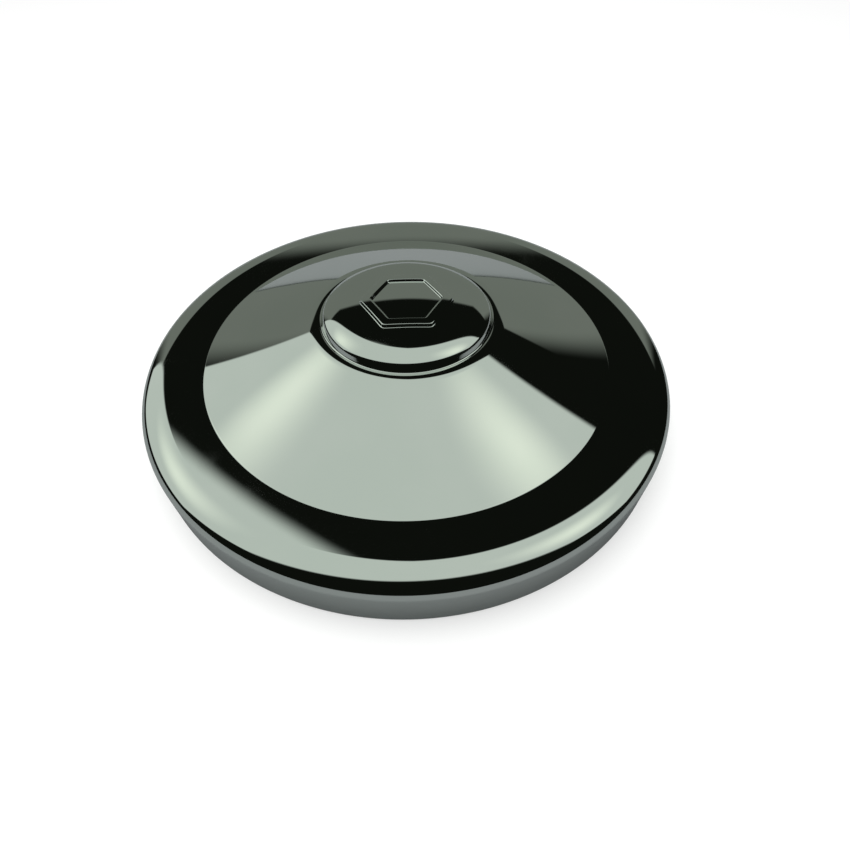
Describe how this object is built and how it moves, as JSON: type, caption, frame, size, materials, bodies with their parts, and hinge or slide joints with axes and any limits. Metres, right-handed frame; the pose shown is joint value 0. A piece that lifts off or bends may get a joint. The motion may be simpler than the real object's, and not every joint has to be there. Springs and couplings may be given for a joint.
{
  "type": "hub cap",
  "caption": "Round push-on wheel hub cap: bright domed skin with a raised centre boss, hemmed round a pressed ring whose sprung clips grip the wheel.",
  "frame": {"origin": "centre of the circle the rim stands on, on the wheel side", "axes": "+Z along the wheel axle, out through the bright face; the hexagon's corners lie on +X and -X"},
  "size_m": [0.25, 0.25, 0.0531],
  "materials": {
    "bright_chrome": "mirror bright chrome plate on pressed sheet steel",
    "zinc_plate": "dull zinc plate on pressed steel",
    "spring_steel": "oiled dark tempered spring steel",
    "rivet_steel": "plain steel rivet"
  },
  "bodies": {
    "cap": {"outer_skin": "bright_chrome", "retaining_ring": "zinc_plate", "clip_foot_1": "spring_steel", "clip_foot_2": "spring_steel", "clip_foot_3": "spring_steel", "clip_foot_4": "spring_steel", "rivet_1a": "rivet_steel", "rivet_1b": "rivet_steel", "rivet_2a": "rivet_steel", "rivet_2b": "rivet_steel", "rivet_3a": "rivet_steel", "rivet_3b": "rivet_steel", "rivet_4a": "rivet_steel", "rivet_4b": "rivet_steel"},
    "clip_1": {"clip_arm_1": "spring_steel"},
    "clip_2": {"clip_arm_2": "spring_steel"},
    "clip_3": {"clip_arm_3": "spring_steel"},
    "clip_4": {"clip_arm_4": "spring_steel"}
  },
  "joints": [
    {"name": "clip_1_flex", "type": "hinge", "parent": "cap", "child": "clip_1", "pos_m": [0.0775, 0.0775, 0.0137], "axis": [0.7071, -0.7071, 0], "range_deg": [0, 10], "stiffness_Nm_per_rad": 3},
    {"name": "clip_2_flex", "type": "hinge", "parent": "cap", "child": "clip_2", "pos_m": [-0.0775, 0.0775, 0.0137], "axis": [0.7071, 0.7071, 0], "range_deg": [0, 10], "stiffness_Nm_per_rad": 3},
    {"name": "clip_3_flex", "type": "hinge", "parent": "cap", "child": "clip_3", "pos_m": [-0.0775, -0.0775, 0.0137], "axis": [-0.7071, 0.7071, 0], "range_deg": [0, 10], "stiffness_Nm_per_rad": 3},
    {"name": "clip_4_flex", "type": "hinge", "parent": "cap", "child": "clip_4", "pos_m": [0.0775, -0.0775, 0.0137], "axis": [-0.7071, -0.7071, 0], "range_deg": [0, 10], "stiffness_Nm_per_rad": 3}
  ]
}
